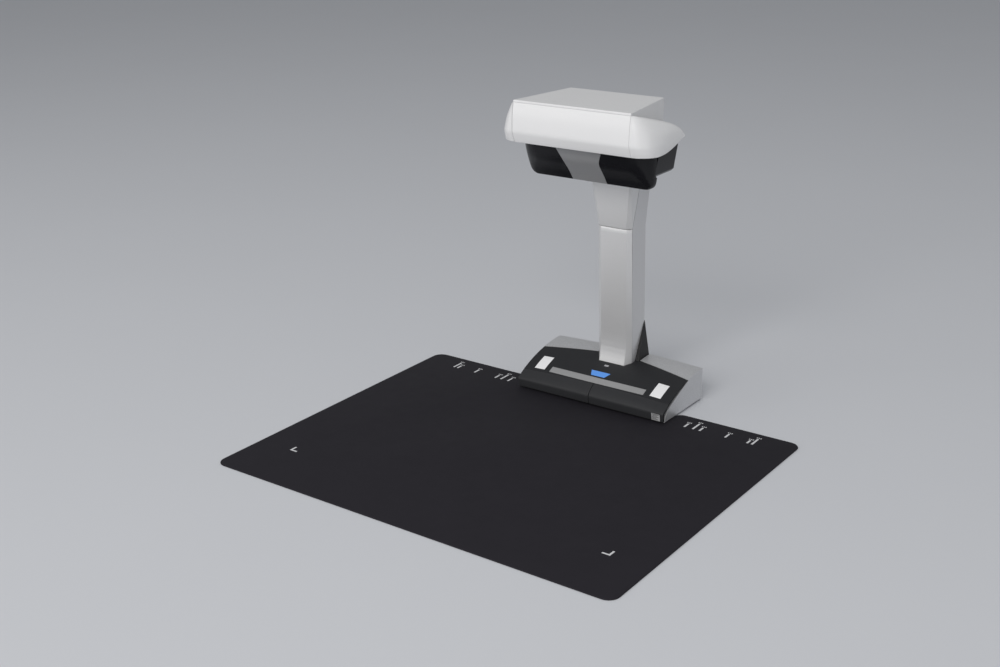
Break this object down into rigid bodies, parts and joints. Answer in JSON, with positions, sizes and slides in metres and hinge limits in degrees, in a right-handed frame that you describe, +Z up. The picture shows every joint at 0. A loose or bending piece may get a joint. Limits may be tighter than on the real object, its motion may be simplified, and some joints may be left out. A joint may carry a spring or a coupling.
{
  "type": "overhead document scanner",
  "caption": "Desktop document scanner: a head with a swinging line camera on a fixed arm looks down on a flat background mat that its base stands in.",
  "frame": {"origin": "bottom centre of the whole footprint, scanner and mat together, on the table surface", "axes": "+Z up, -Y towards the user (front of the mat), +X to the right seen from the front"},
  "size_m": [0.528, 0.471, 0.38],
  "materials": {
    "mat": "matt black pad",
    "rubber": "matt",
    "steel": "zinc plated sheet",
    "silver": "fine silver lacquer on plastic",
    "arm_silver": "warm silver lacquer on plastic",
    "white": "satin pearl white",
    "charcoal": "fine grained moulding",
    "strip": "satin grey",
    "tile": "matt white reference",
    "light": "lit blue lens",
    "indicator": "clear lens",
    "board": "solder mask",
    "brass": "plain",
    "screws": "plated",
    "dark_plastic": "moulded",
    "foot_black": "fine grained moulding",
    "cable": "flat flexible cable",
    "gloss_black": "polished",
    "nose": "satin grey",
    "gear": "acetal",
    "lens": "coated lens",
    "diffuser": "opal diffuser"
  },
  "bodies": {
    "stand": {"rubber_feet": "rubber", "bottom_plate": "steel", "base_cover_left": "silver", "base_cover_right": "silver", "front_panel": "charcoal", "accent_strip": "strip", "reference_tiles": "tile", "status_light": "light", "power_indicator": "indicator", "control_board": "board", "board_spacers": "brass", "board_screws": "screws", "tact_switches": "dark_plastic", "usb_socket": "steel", "power_socket": "dark_plastic", "column": "steel", "column_flange": "steel", "flange_screws": "screws", "foot_cover": "foot_black", "arm_front_cover": "arm_silver", "arm_shell": "silver", "neck_cover": "arm_silver", "signal_cable": "cable", "head_chassis": "steel", "head_board": "board", "chassis_screws": "screws", "top_cover": "white", "front_cover": "white", "wing_left": "white", "wing_right": "white", "rear_hood": "silver", "lower_housing": "gloss_black", "visor_left": "gloss_black", "visor_right": "gloss_black", "nose_trim": "nose", "drum_bushes": "brass", "stepper_motor": "steel", "motor_screws": "screws", "home_sensor": "dark_plastic"},
    "background_mat": {"mat": "mat"},
    "scan_key_body": {"scan_key": "charcoal"},
    "stop_key_body": {"stop_key": "charcoal"},
    "scan_unit": {"scan_drum": "dark_plastic", "pivot_pins": "screws", "drum_gear": "gear", "lens_barrel": "dark_plastic", "lens_glass": "lens", "sensor_board": "board", "lamp_boards": "tile", "lamp_covers": "diffuser"},
    "motor_rotor": {"motor_shaft": "screws", "pinion": "brass"}
  },
  "joints": [
    {"name": "mat_slide", "type": "slide", "parent": "stand", "child": "background_mat", "axis": [0, -1, 0], "range_m": [0, 0.12]},
    {"name": "scan_key_press", "type": "slide", "parent": "stand", "child": "scan_key_body", "axis": [0, 0, -1], "range_m": [0, 0.0008], "stiffness_N_per_m": 1500, "springref_m": -0.0006},
    {"name": "stop_key_press", "type": "slide", "parent": "stand", "child": "stop_key_body", "axis": [0, 0, -1], "range_m": [0, 0.0008], "stiffness_N_per_m": 1500, "springref_m": -0.0006},
    {"name": "scan_sweep", "type": "hinge", "parent": "stand", "child": "scan_unit", "pos_m": [0, 0.1645, 0.3065], "axis": [-1, 0, 0], "range_deg": [-8, 44]},
    {"name": "motor_turn", "type": "hinge", "parent": "stand", "child": "motor_rotor", "pos_m": [0, 0.1645, 0.3305], "axis": [-1, 0, 0], "range_deg": [-178, 34]}
  ],
  "couplings": [
    {"joint": "motor_turn", "follows": "scan_sweep", "ratio": -4}
  ]
}
